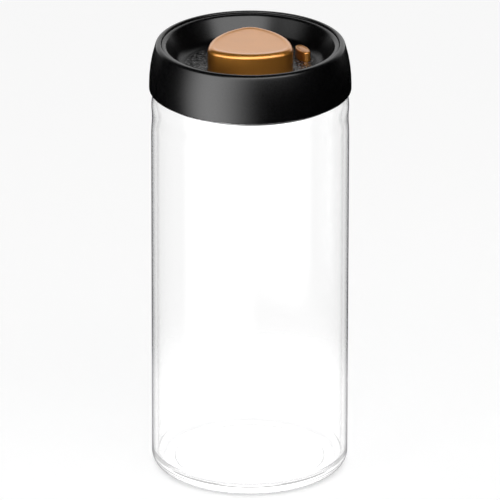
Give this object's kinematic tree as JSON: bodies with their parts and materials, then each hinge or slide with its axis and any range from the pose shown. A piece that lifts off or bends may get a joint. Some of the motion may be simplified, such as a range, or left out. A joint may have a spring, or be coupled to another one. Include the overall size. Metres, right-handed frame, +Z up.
{
  "type": "vacuum seal canister",
  "caption": "Tall round glass canister with a black pump lid: press the rounded triangular bronze button to draw out the air, and the small oval button beside it to let it back.",
  "frame": {"origin": "centre of the underside of the jar", "axes": "+Z up, +X to the right, +Y away from the front; the pump button's back corner points along +Y"},
  "size_m": [0.1062, 0.1062, 0.2373],
  "materials": {
    "clear_glass": "clear, polished",
    "black_plastic": "fine satin black",
    "inner_plastic": "smooth dark grey moulding",
    "silicone": "pale translucent silicone",
    "filter_mesh": "fine white mesh",
    "steel": "plain stainless",
    "bronze_finish": "satin metallic bronze coating"
  },
  "bodies": {
    "jar": {"glass_jar": "clear_glass"},
    "lid": {"outer_ring": "black_plastic", "lid_dish": "black_plastic", "lid_base": "inner_plastic", "rim_gasket": "silicone", "bottom_cover": "inner_plastic", "dust_filter": "filter_mesh", "pump_cylinder": "inner_plastic", "cylinder_gasket": "silicone", "inlet_valve": "silicone", "lid_screws": "steel", "screw_washers": "silicone", "pump_spring": "steel", "vent_spring": "steel"},
    "pump": {"pump_button": "bronze_finish", "piston": "inner_plastic", "piston_seal": "silicone", "exhaust_valve": "silicone", "piston_screws": "steel"},
    "vent": {"vent_button": "bronze_finish", "vent_stem": "inner_plastic", "vent_seal": "silicone"}
  },
  "joints": [
    {"name": "lid_lift", "type": "slide", "parent": "jar", "child": "lid", "axis": [0, 0, 1], "range_m": [0, 0.06]},
    {"name": "pump_press", "type": "slide", "parent": "lid", "child": "pump", "axis": [0, 0, -1], "range_m": [0, 0.007], "stiffness_N_per_m": 290, "springref_m": -0.04, "deforming": ["pump_spring"]},
    {"name": "vent_press", "type": "slide", "parent": "lid", "child": "vent", "axis": [0, 0, -1], "range_m": [0, 0.0025], "stiffness_N_per_m": 800, "springref_m": -0.003, "deforming": ["vent_spring"]}
  ]
}
